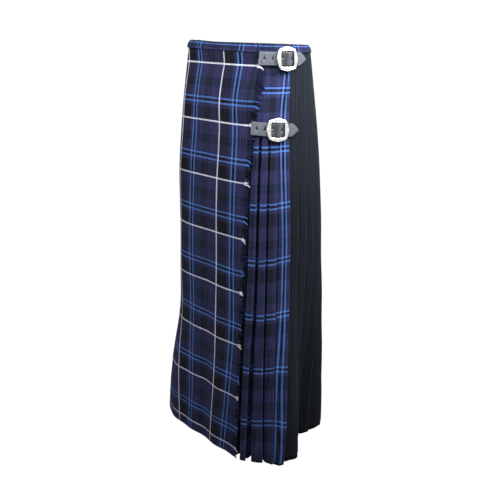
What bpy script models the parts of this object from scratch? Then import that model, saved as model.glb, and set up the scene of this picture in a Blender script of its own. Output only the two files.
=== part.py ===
"""A floor-length pleated wrap kilt on a general figure, with nobody in it.

The front faces -Y and the wearer's left, where the kilt buckles, is +X. Z is up and the origin is the
centre of the waist opening, level with the top of the waistband.

Every piece of cloth is a wall carried down the kilt. In plan the kilt follows one closed outline at each
height. A place on it is an arc, measured along the outline from the centre front and growing towards the
wearer's left, and a height above the outline, which is negative on the wearer's side.
"""

from collections import namedtuple

import bmesh
import bpy
import numpy as np
from mathutils import Matrix, Vector

# Driving dimensions, in metres.
LENGTH = 0.970
CLOTH = 0.0012
LAYER = 0.0017
SEAM = 0.0003
BAND_WIDTH = 0.017
APRON_RETURN = 0.042
UNDERLAP = 0.008
APRON_LAP = 0.012
FACE_HOLD = 0.001
FACE_RISE = 0.0035
LEFT_PLEATS = 4
BACK_PLEATS = 19
RIGHT_PLEATS = 4
CREASE_GAP = 0.003
STRAP_WIDTH = 0.029
STRAP_THICKNESS = 0.002
STRAP_POINT = 0.020
STRAP_BLUNT = 0.0008
CHAPE_HALF_WIDTH = 0.0125
CHAPE_THICKNESS = 0.0012
BAR_RADIUS = 0.0013
PRONG_RADIUS = 0.0009

# The outline at each drop below the waist: its centre, its half width and its depths to the front and the
# back, with how square each corner is, where 2 is an ellipse.
Outline = namedtuple(
    "Outline",
    "drop centre_x centre_y half_width front_depth back_depth left_corner right_corner back_corner",
)
OUTLINES = [
    Outline(0.00, 0.000, -0.004, 0.150, 0.111, 0.119, 2.8, 3.5, 2.1),
    Outline(0.12, 0.002, -0.004, 0.156, 0.127, 0.137, 3.1, 4.2, 2.2),
    Outline(0.26, 0.013, -0.001, 0.160, 0.146, 0.144, 3.8, 5.2, 2.1),
    Outline(0.55, 0.027, -0.011, 0.165, 0.157, 0.145, 4.8, 5.1, 2.3),
    Outline(0.97, 0.020, -0.034, 0.215, 0.177, 0.138, 6.3, 2.9, 2.1),
]

# Where the apron's free edge, the fold at its other side and the folds of the left pleats lie at each drop,
# as arcs, with how far the fringe reaches past the edge and how far the layers of a pleat stand apart.
Lie = namedtuple("Lie", "drop edge crease fold_1 fold_2 fold_3 fold_4 fringe stand")
LIES = [
    Lie(0.00, 0.112, -0.114, 0.124, 0.144, 0.167, 0.195, 0.010, 0.0017),
    Lie(0.06, 0.120, -0.114, 0.130, 0.150, 0.174, 0.203, 0.015, 0.0017),
    Lie(0.15, 0.118, -0.116, 0.140, 0.160, 0.185, 0.214, 0.014, 0.0017),
    Lie(0.26, 0.120, -0.120, 0.151, 0.174, 0.201, 0.231, 0.011, 0.0020),
    Lie(0.55, 0.127, -0.132, 0.165, 0.191, 0.222, 0.262, 0.009, 0.0030),
    Lie(0.97, 0.151, -0.160, 0.184, 0.231, 0.253, 0.285, 0.007, 0.0042),
]

# The deep soft folds that the hem falls into: the arc of each one's middle at the hem, how wide it is and
# how far out it stands there.
Flute = namedtuple("Flute", "arc width out")
FLUTES = [
    Flute(0.210, 0.022, -0.005),
    Flute(0.308, 0.034, 0.036),
    Flute(0.396, 0.036, -0.036),
    Flute(0.530, 0.045, 0.010),
    Flute(0.640, 0.040, -0.012),
    Flute(0.770, 0.045, 0.012),
    Flute(0.890, 0.045, -0.010),
]
FLUTES_START = 0.50
HEM_AROUND = 1.294

# The waist sits lower at the back than at the front, and the cloth is level again further down.
BACK_DIP = 0.009
BACK_DIP_ENDS = 0.40

# Drops at which the cloth's sections are taken.
TOP_EDGE = 0.0015
FRINGE_SHORT = 0.005
SECTION_DROPS = (TOP_EDGE, 0.03, 0.08, 0.15, 0.22, 0.32, 0.46, 0.62, 0.80, LENGTH)

# Each fastening: the drop and the arc of its buckle's centre, the arcs where its strap starts and ends,
# and how far the strap drops for each metre that it runs round.
Fastening = namedtuple("Fastening", "name drop arc strap_start strap_end fall")
FASTENINGS = [
    Fastening("upper", 0.0302, 0.1848, 0.1210, 0.2455, 0.010),
    Fastening("lower", 0.1836, 0.1822, 0.1230, 0.2448, 0.070),
]

# The buckle: an octagon with a window, in its own plane, u round the waist, v up and w outwards. It has a
# low point in the middle of each side, and its corners are at this share of its half width and half height.
BUCKLE_HALF_WIDTH = 0.0288
BUCKLE_HALF_HEIGHT = 0.0272
OCTAGON_CORNER = 0.78
WINDOW_HALF_WIDTH = 0.0170
WINDOW_HALF_HEIGHT = 0.0168
FRAME_BACK = 0.0036
FRAME_FRONT = 0.0066
BAR_LEVEL = 0.0020
CHAPE_LEVEL = -0.0006
STRAP_LIFT = 0.0006
STRAP_HUMP = 0.0055
STRAP_HUMP_RUN = 0.0098
STRAP_CLEAR = 0.0014
FRAME_STEPS = 48

# The frame's section, as shares of the way from the window to the outer edge and of the way from its back
# to its front.
FRAME_SECTION = ((0.0, 0.0), (0.0, 0.45), (0.12, 0.85), (0.5, 1.0), (0.88, 0.8), (1.0, 0.35), (1.0, 0.0))
OCTAGON_ROUNDNESS = 12
WINDOW_SQUARENESS = 9

# The prong's path from its loop round the bar to its tip on the frame, as u and w, and the arcs ahead of
# the buckle at which the strip behind it is placed.
PRONG_SHANK = ((-0.0040, 0.0047), (-0.0088, 0.0047), (-0.0112, 0.0058))
PRONG_TIP = (-0.0150, -0.0190, -0.0235)
CHAPE_AHEAD = (0.038, 0.030, 0.022, 0.014, 0.007)
PRONG_SLOT = (0.0116, 0.0030, 0.0140)
BAR_TURN_UP = 0.0012
BAR_BEND = 0.0016


def eased(t):
    t = np.clip(t, 0, 1)
    return t * t * (3 - 2 * t)


def column(rows, name, drop):
    """The value of a table's column at a drop, on a smooth curve through the rows."""
    x = np.array([row.drop for row in rows])
    y = np.array([getattr(row, name) for row in rows])
    slope = np.gradient(y, x)
    i = int(np.clip(np.searchsorted(x, drop) - 1, 0, len(x) - 2))
    span = x[i + 1] - x[i]
    t = (drop - x[i]) / span
    return (
        (1 + 2 * t) * (1 - t) ** 2 * y[i]
        + t * (1 - t) ** 2 * span * slope[i]
        + t * t * (3 - 2 * t) * y[i + 1]
        + t * t * (t - 1) * span * slope[i + 1]
    )


class Plan:
    """The outline of the kilt at one drop, as a closed curve that can be asked for any arc."""

    STEPS = 1440

    def __init__(self, drop):
        self.drop = drop
        value = {name: column(OUTLINES, name, drop) for name in Outline._fields[1:]}
        angle = np.linspace(-np.pi / 2, 1.5 * np.pi, self.STEPS + 1)
        cos, sin = np.cos(angle), np.sin(angle)
        front = np.where(cos >= 0, value["left_corner"], value["right_corner"])
        power = 2 / np.where(sin < 0, front, value["back_corner"])
        depth = np.where(sin < 0, value["front_depth"], value["back_depth"])
        self.x = value["centre_x"] + value["half_width"] * np.sign(cos) * np.abs(cos) ** power
        self.y = value["centre_y"] + depth * np.sign(sin) * np.abs(sin) ** power
        run = np.concatenate([[0], np.cumsum(np.hypot(np.diff(self.x), np.diff(self.y)))])
        self.around = run[-1]
        self.arc = run + value["centre_x"]
        out = np.stack([np.gradient(self.y), -np.gradient(self.x)], axis=1)
        self.out = out / np.linalg.norm(out, axis=1, keepdims=True)
        self.flute = self.flutes()

    def flutes(self):
        """How far the deep folds carry each point of the outline out of its place."""
        grown = eased((self.drop - FLUTES_START) / (LENGTH - FLUTES_START))
        total = np.zeros_like(self.arc)
        for flute in FLUTES:
            away = (self.arc - flute.arc * self.around / HEM_AROUND) / flute.width
            total += flute.out * grown * np.exp(-0.5 * away * away)
        return total

    def read(self, values, arc):
        return np.interp(np.asarray(arc), self.arc, values, period=self.around)

    def points(self, arc, height):
        """The points at these arcs, this far outside the outline, as rows of x, y, z."""
        arc = np.asarray(arc, float)
        height = np.asarray(height, float) + self.read(self.flute, arc)
        x = self.read(self.x, arc) + height * self.read(self.out[:, 0], arc)
        y = self.read(self.y, arc) + height * self.read(self.out[:, 1], arc)
        behind = (1 - np.cos(2 * np.pi * arc / self.around)) / 2
        dip = BACK_DIP * behind * eased(1 - self.drop / BACK_DIP_ENDS)
        return np.stack([x, y, -self.drop - dip], axis=-1)


def lie(name, drop):
    return column(LIES, name, drop)


def crease(drop):
    """The arc of the pressed fold that ends the apron on the wearer's right."""
    return lie("crease", drop)


# Heights of the middles of the layers under the outline: the apron, then the layers of a pleat.
APRON_LEVEL = -CLOTH / 2
PLEAT_BASE = APRON_LEVEL - 3 * LAYER - SEAM
UNDER_LEVEL = PLEAT_BASE
DEEP_UNDER_LEVEL = -0.0127
CREASE_LIFT = 0.0020
CREASE_LIFT_WIDTH = 0.022
BESIDE_CREASE = np.array([0.0, 0.014, 0.028])

# The under apron: how far from the crease it ends, and where it rises from behind the apron's deep fold.
UNDER_APRON_END = 0.006
UNDER_RISE_START = 0.075
UNDER_RISE_WIDTH = 0.050


def closed_mesh(name, points, faces):
    """A mesh of these points and faces, its faces turned outwards."""
    mesh = bpy.data.meshes.new(name)
    mesh.from_pydata(points.reshape(-1, 3).tolist(), [], faces)
    work = bmesh.new()
    work.from_mesh(mesh)
    bmesh.ops.recalc_face_normals(work, faces=work.faces)
    work.to_mesh(mesh)
    work.free()
    return mesh


def sheet_mesh(name, outer, inner):
    """A closed wall between two grids of points, rows going down and columns going along.

    A cell is halved from its upper corner on the wearer's right, which keeps stacked layers parallel.
    """
    rows, columns = outer.shape[:2]
    index = np.arange(rows * columns).reshape(rows, columns)
    under = index + rows * columns
    start, step = outer[:-1, :-1], outer[:-1, 1:] - outer[:-1, :-1]
    leftwards = start[..., 0] * step[..., 1] > start[..., 1] * step[..., 0]
    faces = []
    for grid in (index, under):
        cells = np.stack([grid[:-1, :-1], grid[:-1, 1:], grid[1:, 1:], grid[1:, :-1]], axis=-1)
        cells = np.where(leftwards[..., None], cells, np.roll(cells, -1, axis=-1)).reshape(-1, 4)
        faces += cells[:, [0, 1, 2]].tolist() + cells[:, [0, 2, 3]].tolist()

    def strip(a, b):
        faces.extend(np.stack([a[:-1], a[1:], b[1:], b[:-1]], axis=1).tolist())

    strip(under[0], index[0])
    strip(index[-1], under[-1])
    strip(index[:, 0], under[:, 0])
    strip(under[:, -1], index[:, -1])
    return closed_mesh(name, np.stack([outer, inner]), faces)


def two_sides(line, thickness):
    """The lines half a thickness to either side of a bent line in plan, mitred at its corners."""
    step = np.diff(line[:, :2], axis=0)
    side = np.stack([step[:, 1], -step[:, 0]], axis=1)
    side /= np.linalg.norm(side, axis=1, keepdims=True)
    before = np.vstack([side[:1], side])
    after = np.vstack([side, side[-1:]])
    mitre = (before + after) / (1 + np.sum(before * after, axis=1, keepdims=True))
    shift = np.pad(mitre * thickness / 2, ((0, 0), (0, 1)))
    return line + shift, line - shift


def cloth(name, path, drops=SECTION_DROPS, thickness=CLOTH):
    """A wall of cloth whose section at each drop follows path(drop), rows of arc and height."""
    pairs = []
    for drop in drops:
        arc, height = np.array(path(drop)).T
        pairs.append(two_sides(Plan(drop).points(arc, height), thickness))
    outer, inner = (np.stack(side) for side in zip(*pairs))
    return sheet_mesh(name, outer, inner)


def pleat_run(folds, drop):
    """The section of a run of knife pleats, each face rising to its fold and going back under it.

    A face starts FACE_HOLD past the last fold, and takes at least FACE_RISE to clear its own under layers.
    """
    base, stand = PLEAT_BASE, lie("stand", drop)
    path = []
    for before, fold in zip(folds, folds[1:]):
        path.append((min(before + FACE_HOLD, fold - UNDERLAP - FACE_RISE), base))
        path.append((fold - UNDERLAP, base + 2 * stand))
        path.append((fold, base + 2 * stand))
        path.append((fold, base + stand))
        path.append((fold - UNDERLAP, base + stand))
        path.append((fold - UNDERLAP, base))
    return path


def left_folds(drop):
    return [lie(f"fold_{i + 1}", drop) for i in range(LEFT_PLEATS)]


def right_folds(drop):
    """The folds of the right pleats, from the last black one's to the one beside the crease."""
    face = (left_folds(drop)[-1] - lie("edge", drop)) / LEFT_PLEATS
    last = Plan(drop).around + crease(drop) - CREASE_GAP
    return [last - face * (RIGHT_PLEATS - i) for i in range(RIGHT_PLEATS + 1)]


def pleats_left_path(drop):
    edge = lie("edge", drop)
    return [(edge - APRON_LAP, PLEAT_BASE)] + pleat_run([edge + FACE_HOLD] + left_folds(drop), drop)[:-1]


def pleats_back_path(drop):
    folds = np.linspace(left_folds(drop)[-1], right_folds(drop)[0], BACK_PLEATS + 1)
    return [(folds[0] - UNDERLAP, PLEAT_BASE)] + pleat_run(folds, drop)[:-1]


def pleats_right_path(drop):
    folds = right_folds(drop)
    deep_fold = Plan(drop).around + crease(drop) + APRON_RETURN
    return (
        [(folds[0] - UNDERLAP, PLEAT_BASE)]
        + pleat_run(folds, drop)
        + [(deep_fold - APRON_RETURN / 2, PLEAT_BASE), (deep_fold, PLEAT_BASE)]
    )


def crease_lift(arc, drop):
    """How far the apron stands out beside its crease."""
    return CREASE_LIFT * np.exp(-(((arc - crease(drop)) / CREASE_LIFT_WIDTH) ** 2))


def over_apron_path(drop):
    """From the free edge across the front to the crease, and back under it as far as the deep fold."""
    fold, edge = crease(drop), lie("edge", drop)
    face = np.concatenate([np.linspace(edge, fold + APRON_RETURN, 18), fold + BESIDE_CREASE[::-1]])
    back = fold + np.append(BESIDE_CREASE, APRON_RETURN)
    path = [(arc, APRON_LEVEL + crease_lift(arc, drop)) for arc in face]
    path += [(arc, APRON_LEVEL - LAYER + crease_lift(arc, drop)) for arc in back]
    return path + [(back[-1], APRON_LEVEL - 2 * LAYER)]


def under_apron_height(arc, drop):
    """The under apron starts level with the base of the pleats and goes in under the apron's deep fold."""
    t = eased((arc - crease(drop) - UNDER_RISE_START) / UNDER_RISE_WIDTH)
    return DEEP_UNDER_LEVEL + (UNDER_LEVEL - DEEP_UNDER_LEVEL) * t


def under_apron_path(drop):
    start, end = lie("edge", drop) - APRON_LAP - SEAM, crease(drop) + UNDER_APRON_END
    return [(arc, under_apron_height(arc, drop)) for arc in np.linspace(start, end, 15)]


def fringe_path(drop):
    start = lie("edge", drop) + SEAM
    return [(start + t * lie("fringe", drop), APRON_LEVEL) for t in (0.0, 0.5, 1.0)]


def band_mesh(name, stations):
    """A band folded over a top edge. stations(drop) gives arcs and its two leaves' middles there."""

    def line(drop, outside, side):
        arcs, outer, inner = stations(drop)
        return Plan(drop).points(arcs, (outer if outside else inner) + side)

    half = CLOTH / 2
    loops = [
        line(BAND_WIDTH, True, half),
        line(0.0, True, half),
        line(0.0, False, -half),
        line(BAND_WIDTH, False, -half),
        line(BAND_WIDTH, False, half),
        line(CLOTH, False, half),
        line(CLOTH, True, -half),
        line(BAND_WIDTH, True, -half),
    ]
    ring = np.stack(loops)
    count, stations = ring.shape[:2]
    index = np.arange(count * stations).reshape(count, stations)
    faces = []
    for i in range(count):
        a, b = index[i], index[(i + 1) % count]
        faces.extend(np.stack([a[:-1], a[1:], b[1:], b[:-1]], axis=1).tolist())
    for end in (0, -1):
        ends = index[:, end].tolist()
        faces += [[ends[i] for i in corners] for corners in ((0, 1, 6, 7), (1, 2, 5, 6), (2, 3, 4, 5))]
    return closed_mesh(name, ring, faces)


def stepped(arcs, stops):
    """A height along the arcs that goes smoothly between the stops, and is level beyond them."""
    places = np.array([stop.arc for stop in stops])
    heights = np.array([stop.height for stop in stops])
    i = np.clip(np.searchsorted(places, arcs) - 1, 0, len(places) - 2)
    t = eased((arcs - places[i]) / (places[i + 1] - places[i]))
    return heights[i] + (heights[i + 1] - heights[i]) * t


# Heights of the band's leaves over the apron and its crease, and over and under the pleats.
BAND_GAP = 0.0005
BAND_OVER_APRON = BAND_GAP + CLOTH / 2
BAND_OVER_CREASE = BAND_OVER_APRON + 0.0030
BAND_OVER_PLEATS = APRON_LEVEL - LAYER + CLOTH + BAND_GAP
BAND_BEHIND_APRON = -CLOTH - BAND_GAP - CLOTH / 2
BAND_BEHIND_PLEATS = PLEAT_BASE - CLOTH - 0.0018

# Where each leaf reaches a height, as arcs from the crease, growing towards the apron.
BandStop = namedtuple("BandStop", "arc height")
BAND_OUTER = [
    BandStop(-0.030, BAND_OVER_PLEATS),
    BandStop(-0.004, BAND_OVER_CREASE),
    BandStop(0.010, BAND_OVER_CREASE),
    BandStop(0.060, BAND_OVER_APRON),
]
BAND_INNER = [
    BandStop(APRON_RETURN + 0.008, BAND_BEHIND_PLEATS),
    BandStop(APRON_RETURN + 0.022, BAND_BEHIND_APRON),
]
BAND_LAP = 0.002
BAND_SETBACK = 0.001
BAND_FINE = (-0.04, 0.07)
BAND_FINE_STEP = 0.010


def waistband_stations(drop):
    """From the left hip backwards round to the crease, over it and across the apron to its free edge."""
    around, edge = Plan(drop).around, lie("edge", drop)
    crossing = around + crease(drop)
    fine_start, fine_end = crossing + BAND_FINE[0], crossing + BAND_FINE[1]
    arcs = np.concatenate(
        [
            np.linspace(edge + BAND_LAP, fine_start - BAND_FINE_STEP, 54),
            np.linspace(fine_start, fine_end, 13),
            np.linspace(fine_end + BAND_FINE_STEP, around + edge - BAND_SETBACK, 12),
        ]
    )
    return arcs, stepped(arcs - crossing, BAND_OUTER), stepped(arcs - crossing, BAND_INNER)


def waistband_under_stations(drop):
    """The same band where it runs on along the under apron."""
    start, end = crease(drop) + UNDER_APRON_END + 0.002, lie("edge", drop) - APRON_LAP - 0.002
    arcs = np.linspace(start, end, 24)
    middle = under_apron_height(arcs, drop)
    leaf = CLOTH + BAND_GAP
    return arcs, middle + leaf, middle - leaf


def hump(u):
    """How far a strap is pushed out where it runs over its buckle's bar."""
    return STRAP_HUMP * eased((WINDOW_HALF_WIDTH - STRAP_CLEAR - np.abs(u)) / STRAP_HUMP_RUN)


def strap_mesh(fastening):
    """A strap along the outline, over the bar, square where it starts and pointed where it ends."""
    length = fastening.strap_end - fastening.strap_start
    buckle, point = fastening.arc - fastening.strap_start, length - STRAP_POINT
    along = np.concatenate(
        [
            np.linspace(0, buckle - 0.018, 5),
            buckle + np.linspace(-0.016, 0.016, 17),
            [point - 0.006],
            point + STRAP_POINT * np.array([0.0, 0.2, 0.4, 0.6, 0.8, 0.93, 1.0]),
        ]
    )
    arc = fastening.strap_start + along
    height = STRAP_LIFT + STRAP_THICKNESS / 2 + hump(arc - fastening.arc)
    taper = np.clip((along - point) / STRAP_POINT, 0, 1) ** 1.6
    half = STRAP_WIDTH / 2 * (1 - taper) + STRAP_BLUNT * taper
    middle = fastening.drop + fastening.fall * (arc - fastening.arc)
    outer, inner = [], []
    for side in (-1, 0, 1):
        row_out, row_in = [], []
        for i in range(len(arc)):
            plan = Plan(middle[i] + side * half[i])
            row_out.append(plan.points([arc[i]], [height[i] + STRAP_THICKNESS / 2])[0])
            row_in.append(plan.points([arc[i]], [height[i] - STRAP_THICKNESS / 2])[0])
        outer.append(row_out)
        inner.append(row_in)
    return sheet_mesh(f"strap_{fastening.name}", np.array(outer), np.array(inner))


def seat(fastening):
    """The matrix of a buckle's own plane: u along its strap, v up the cloth and w out of it."""
    near = 0.02
    middle = Plan(fastening.drop)
    arcs = fastening.arc + near * np.array([0, 1, -1])
    centre, ahead, behind = middle.points(arcs, np.zeros(3))
    along = Vector(ahead - behind)
    along.z = -fastening.fall * along.length
    along.normalize()
    above = Plan(fastening.drop - near).points([fastening.arc], [0])[0]
    below = Plan(fastening.drop + near).points([fastening.arc], [0])[0]
    up = Vector(above - below).normalized()
    out = along.cross(up).normalized()
    up = out.cross(along)
    turn = Matrix((along, up, out)).transposed().to_4x4()
    return Matrix.Translation(Vector(centre)) @ turn


def octagon(angle):
    """The outer edge of the buckle, as a distance from its centre."""
    x = np.abs(np.cos(angle)) / BUCKLE_HALF_WIDTH
    y = np.abs(np.sin(angle)) / BUCKLE_HALF_HEIGHT
    longer = (x**OCTAGON_ROUNDNESS + y**OCTAGON_ROUNDNESS) ** (1 / OCTAGON_ROUNDNESS)
    return 1 / (longer + np.minimum(x, y) * (1 - OCTAGON_CORNER) / OCTAGON_CORNER)


def window(angle):
    """The inner edge of the buckle: a rectangle with small round corners."""
    x = np.abs(np.cos(angle)) / WINDOW_HALF_WIDTH
    y = np.abs(np.sin(angle)) / WINDOW_HALF_HEIGHT
    return (x**WINDOW_SQUARENESS + y**WINDOW_SQUARENESS) ** (-1 / WINDOW_SQUARENESS)


def buckle_frame_mesh(name):
    """A domed bar carried round between the window and the octagon."""
    angle = np.linspace(0, 2 * np.pi, FRAME_STEPS, endpoint=False)
    inner, outer = window(angle), octagon(angle)
    rise = FRAME_FRONT - FRAME_BACK
    rings = []
    for across, high in FRAME_SECTION:
        radius = inner + (outer - inner) * across
        level = np.full_like(angle, FRAME_BACK + rise * high)
        rings.append(np.stack([radius * np.cos(angle), radius * np.sin(angle), level], axis=1))
    rings = np.stack(rings)
    count = len(FRAME_SECTION)
    index = np.arange(count * FRAME_STEPS).reshape(count, FRAME_STEPS)
    faces = []
    for i in range(count):
        a, b = index[i], index[(i + 1) % count]
        faces.extend(np.stack([a, np.roll(a, -1), np.roll(b, -1), b], axis=1).tolist())
    return closed_mesh(name, rings, faces)


def wire_object(name, points, radius):
    """A round wire through the points, as a mesh object with its caps welded."""
    data = bpy.data.curves.new(name, "CURVE")
    data.dimensions = "3D"
    data.bevel_depth = radius
    data.bevel_resolution = 2
    data.use_fill_caps = True
    spline = data.splines.new("POLY")
    spline.points.add(len(points) - 1)
    for point, place in zip(spline.points, points):
        point.co = (*place, 1)
    guide = bpy.data.objects.new(name + "_guide", data)
    bpy.context.scene.collection.objects.link(guide)
    bpy.context.view_layer.update()
    mesh = bpy.data.meshes.new_from_object(guide.evaluated_get(bpy.context.evaluated_depsgraph_get()))
    bpy.data.objects.remove(guide)
    bpy.data.curves.remove(data)
    work = bmesh.new()
    work.from_mesh(mesh)
    bmesh.ops.remove_doubles(work, verts=work.verts, dist=1e-6)
    bmesh.ops.recalc_face_normals(work, faces=work.faces)
    work.to_mesh(mesh)
    work.free()
    mesh.name = name
    return bpy.data.objects.new(name, mesh)


def arc_points(radius, start, end, steps):
    """Points in the u, w plane round the bar's middle, angles in degrees from +u towards +w."""
    angle = np.radians(np.linspace(start, end, steps))
    u, w = radius * np.cos(angle), BAR_LEVEL + radius * np.sin(angle)
    return [(a, 0.0, b) for a, b in zip(u, w)]


def prong_points():
    """Round the bar, out to the strap's hole and up on to the frame's side, where the tip rests."""
    turn = BAR_RADIUS + SEAM + PRONG_RADIUS
    rest = FRAME_FRONT + SEAM + PRONG_RADIUS
    loop = arc_points(turn, -230, 90, 15)
    return loop + [(u, 0.0, w) for u, w in PRONG_SHANK] + [(u, 0.0, rest) for u in PRONG_TIP]


def bar_points():
    """The centre bar, set back behind the frame and turned up into it at both ends."""
    end, level = WINDOW_HALF_HEIGHT + BAR_TURN_UP, FRAME_BACK + BAR_TURN_UP
    bend = end - BAR_BEND
    return [(0, end, level), (0, bend, BAR_LEVEL), (0, -bend, BAR_LEVEL), (0, -end, level)]


def chape_mesh(fastening, place):
    """A strip that follows the pleats beside the buckle and goes up round the bar."""
    name = f"chape_{fastening.name}"
    around = BAR_RADIUS + SEAM + CHAPE_THICKNESS / 2
    path = []
    for ahead in CHAPE_AHEAD:
        point = Plan(fastening.drop).points([fastening.arc + ahead], [CHAPE_LEVEL])[0]
        path.append(place.inverted() @ Vector(point))
    path += arc_points(around, -60, -300, 11)
    line = np.array([(u, w, 0) for u, _, w in path])
    side_a, side_b = two_sides(line, CHAPE_THICKNESS)
    rows = []
    for side in (side_a, side_b):
        rows.append([[(u, v, w) for u, w, _ in side] for v in (CHAPE_HALF_WIDTH, -CHAPE_HALF_WIDTH)])
    return sheet_mesh(name, np.array(rows[0]), np.array(rows[1]))


def material(name, colour, roughness, metallic=0.0):
    made = bpy.data.materials.new(name)
    made.use_nodes = True
    shader = made.node_tree.nodes["Principled BSDF"]
    shader.inputs["Base Color"].default_value = (*colour, 1)
    shader.inputs["Roughness"].default_value = roughness
    shader.inputs["Metallic"].default_value = metallic
    made.diffuse_color = (*colour, 1)
    return made


def add(mesh_or_object, collection, finish):
    """Puts a piece into its collection with its finish and returns its object."""
    made = mesh_or_object
    if isinstance(made, bpy.types.Mesh):
        made = bpy.data.objects.new(made.name, made)
    collection.objects.link(made)
    made.data.materials.clear()
    made.data.materials.append(finish)
    return made


def boolean(piece, cutter, operation):
    modifier = piece.modifiers.new(operation.lower(), "BOOLEAN")
    modifier.operation = operation
    modifier.object = cutter
    modifier.solver = "EXACT"


def helper(made, collection):
    """Marks an object as a cutter, which shows as wires and isn't part of the kilt."""
    collection.objects.link(made)
    made.hide_render = True
    made.display_type = "WIRE"
    return made


def slot_cutter(name):
    """The slot in a chape that the prong's loop turns in."""
    made = bpy.data.meshes.new(name)
    work = bmesh.new()
    bmesh.ops.create_cube(work, size=1.0)
    bmesh.ops.scale(work, verts=work.verts, vec=PRONG_SLOT)
    bmesh.ops.translate(work, verts=work.verts, vec=(0, 0, BAR_LEVEL))
    work.to_mesh(made)
    work.free()
    return bpy.data.objects.new(name, made)


def build_fastening(fastening, parts, cutters, leather, silver):
    place = seat(fastening)
    name = fastening.name
    strap = add(strap_mesh(fastening), parts, leather)
    chape = add(chape_mesh(fastening, place), parts, leather)
    frame = add(buckle_frame_mesh(f"buckle_{name}"), parts, silver)
    prong = add(wire_object(f"prong_{name}", prong_points(), PRONG_RADIUS), parts, silver)
    bar = helper(wire_object(f"bar_{name}_cutter", bar_points(), BAR_RADIUS), cutters)
    hole = helper(wire_object(f"hole_{name}_cutter", prong_points(), PRONG_RADIUS + SEAM), cutters)
    slot = helper(slot_cutter(f"slot_{name}_cutter"), cutters)
    for piece in (chape, frame, prong, bar, hole, slot):
        piece.matrix_world = place
    boolean(frame, bar, "UNION")
    boolean(strap, hole, "DIFFERENCE")
    boolean(chape, slot, "DIFFERENCE")


def build():
    for old in list(bpy.data.objects):
        bpy.data.objects.remove(old)
    parts = bpy.data.collections.new("kilt")
    cutters = bpy.data.collections.new("cutters")
    for collection in (parts, cutters):
        bpy.context.scene.collection.children.link(collection)
    check = material("worsted wool, navy and purple check", (0.030, 0.032, 0.075), 0.85)
    plain = material("worsted wool, black self-figured", (0.010, 0.011, 0.015), 0.80)
    leather = material("black leather", (0.040, 0.042, 0.047), 0.50)
    silver = material("cast buckle, polished", (0.80, 0.80, 0.79), 0.18, 1.0)

    below_band = (BAND_WIDTH + SEAM,) + SECTION_DROPS[1:-1] + (LENGTH - FRINGE_SHORT,)
    add(cloth("over_apron", over_apron_path), parts, check)
    add(cloth("under_apron", under_apron_path), parts, check)
    add(cloth("pleats_left", pleats_left_path), parts, check)
    add(cloth("pleats_back", pleats_back_path), parts, plain)
    add(cloth("pleats_right", pleats_right_path), parts, check)
    add(cloth("fringe", fringe_path, drops=below_band), parts, check)
    add(band_mesh("waistband", waistband_stations), parts, check)
    add(band_mesh("waistband_under", waistband_under_stations), parts, check)
    for fastening in FASTENINGS:
        build_fastening(fastening, parts, cutters, leather, silver)


build()
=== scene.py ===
"""The looks of a floor-length pleated wrap kilt, on the solids of its frame.

The front faces -Y, the wearer's left is +X, Z is up and the origin is the centre of the waist opening. In
plan the kilt follows one closed outline at each drop below the waist. A place on it is an arc, measured
along the outline from the centre front towards the wearer's left, and a height outside the outline.
"""

from collections import namedtuple

import bmesh
import bpy
import numpy as np
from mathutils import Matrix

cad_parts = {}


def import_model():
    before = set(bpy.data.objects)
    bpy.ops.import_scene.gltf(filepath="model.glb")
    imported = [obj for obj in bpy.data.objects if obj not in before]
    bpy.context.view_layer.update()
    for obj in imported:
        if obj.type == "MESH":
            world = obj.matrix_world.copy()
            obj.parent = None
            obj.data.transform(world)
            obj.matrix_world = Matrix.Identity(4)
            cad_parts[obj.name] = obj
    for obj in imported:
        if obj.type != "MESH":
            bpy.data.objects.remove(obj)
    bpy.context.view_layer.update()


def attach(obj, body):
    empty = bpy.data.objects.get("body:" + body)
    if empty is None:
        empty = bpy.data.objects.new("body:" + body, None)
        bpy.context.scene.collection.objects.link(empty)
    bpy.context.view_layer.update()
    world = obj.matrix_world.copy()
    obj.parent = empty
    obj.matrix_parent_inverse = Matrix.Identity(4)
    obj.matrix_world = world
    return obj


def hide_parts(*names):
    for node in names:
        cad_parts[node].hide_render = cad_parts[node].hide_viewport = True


# Sizes in metres, the same as the solids'.
LENGTH = 0.970
CLOTH = 0.0012
LAYER = 0.0017
SEAM = 0.0003
BAND_WIDTH, BAND_SETT = 0.017, 0.1395
APRON_RETURN = 0.042
LEFT_PLEATS, BACK_PLEATS, RIGHT_PLEATS = 4, 19, 4
STRAP_WIDTH, STRAP_THICKNESS, STRAP_LIFT = 0.029, 0.002, 0.0006
CHAPE_LEVEL, CHAPE_THICKNESS, CHAPE_WIDTH = -0.0006, 0.0012, 0.025
BAR_RADIUS, BAR_LEVEL, PRONG_RADIUS = 0.0013, 0.0020, 0.0009
BUCKLE_HALF_WIDTH, BUCKLE_HALF_HEIGHT = 0.0288, 0.0272
WINDOW_HALF_WIDTH, WINDOW_HALF_HEIGHT = 0.0170, 0.0168
FRAME_BACK, FRAME_FRONT = 0.0036, 0.0066
BACK_DIP, BACK_DIP_ENDS = 0.009, 0.40
FLUTES_START, HEM_AROUND = 0.50, 1.294
TOP_LEAN = 0.0045
TOP_LIFT, TOP_LIFT_ARC, TOP_LIFT_WIDTH = 0.0045, -0.125, 0.055

# The check repeats every SETT round the kilt and every SETT_DOWN down it.
SETT, SETT_DOWN = 0.130, 0.1287
APRON_WHITE_DROP = 0.046
PLEAT_BLUE_DROP = 0.0985
# The share of a repeat from the white line to the middle of the blue pair.
BLUE_SHARE = 0.3635
# The pleats' check is drawn brighter than the apron's, though it is the same cloth: painted light, standing
# in for the stronger light on the hip.
PLEAT_PAINTED_LIGHT = 1.35
BAND_PHASE = -0.1262

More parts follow.
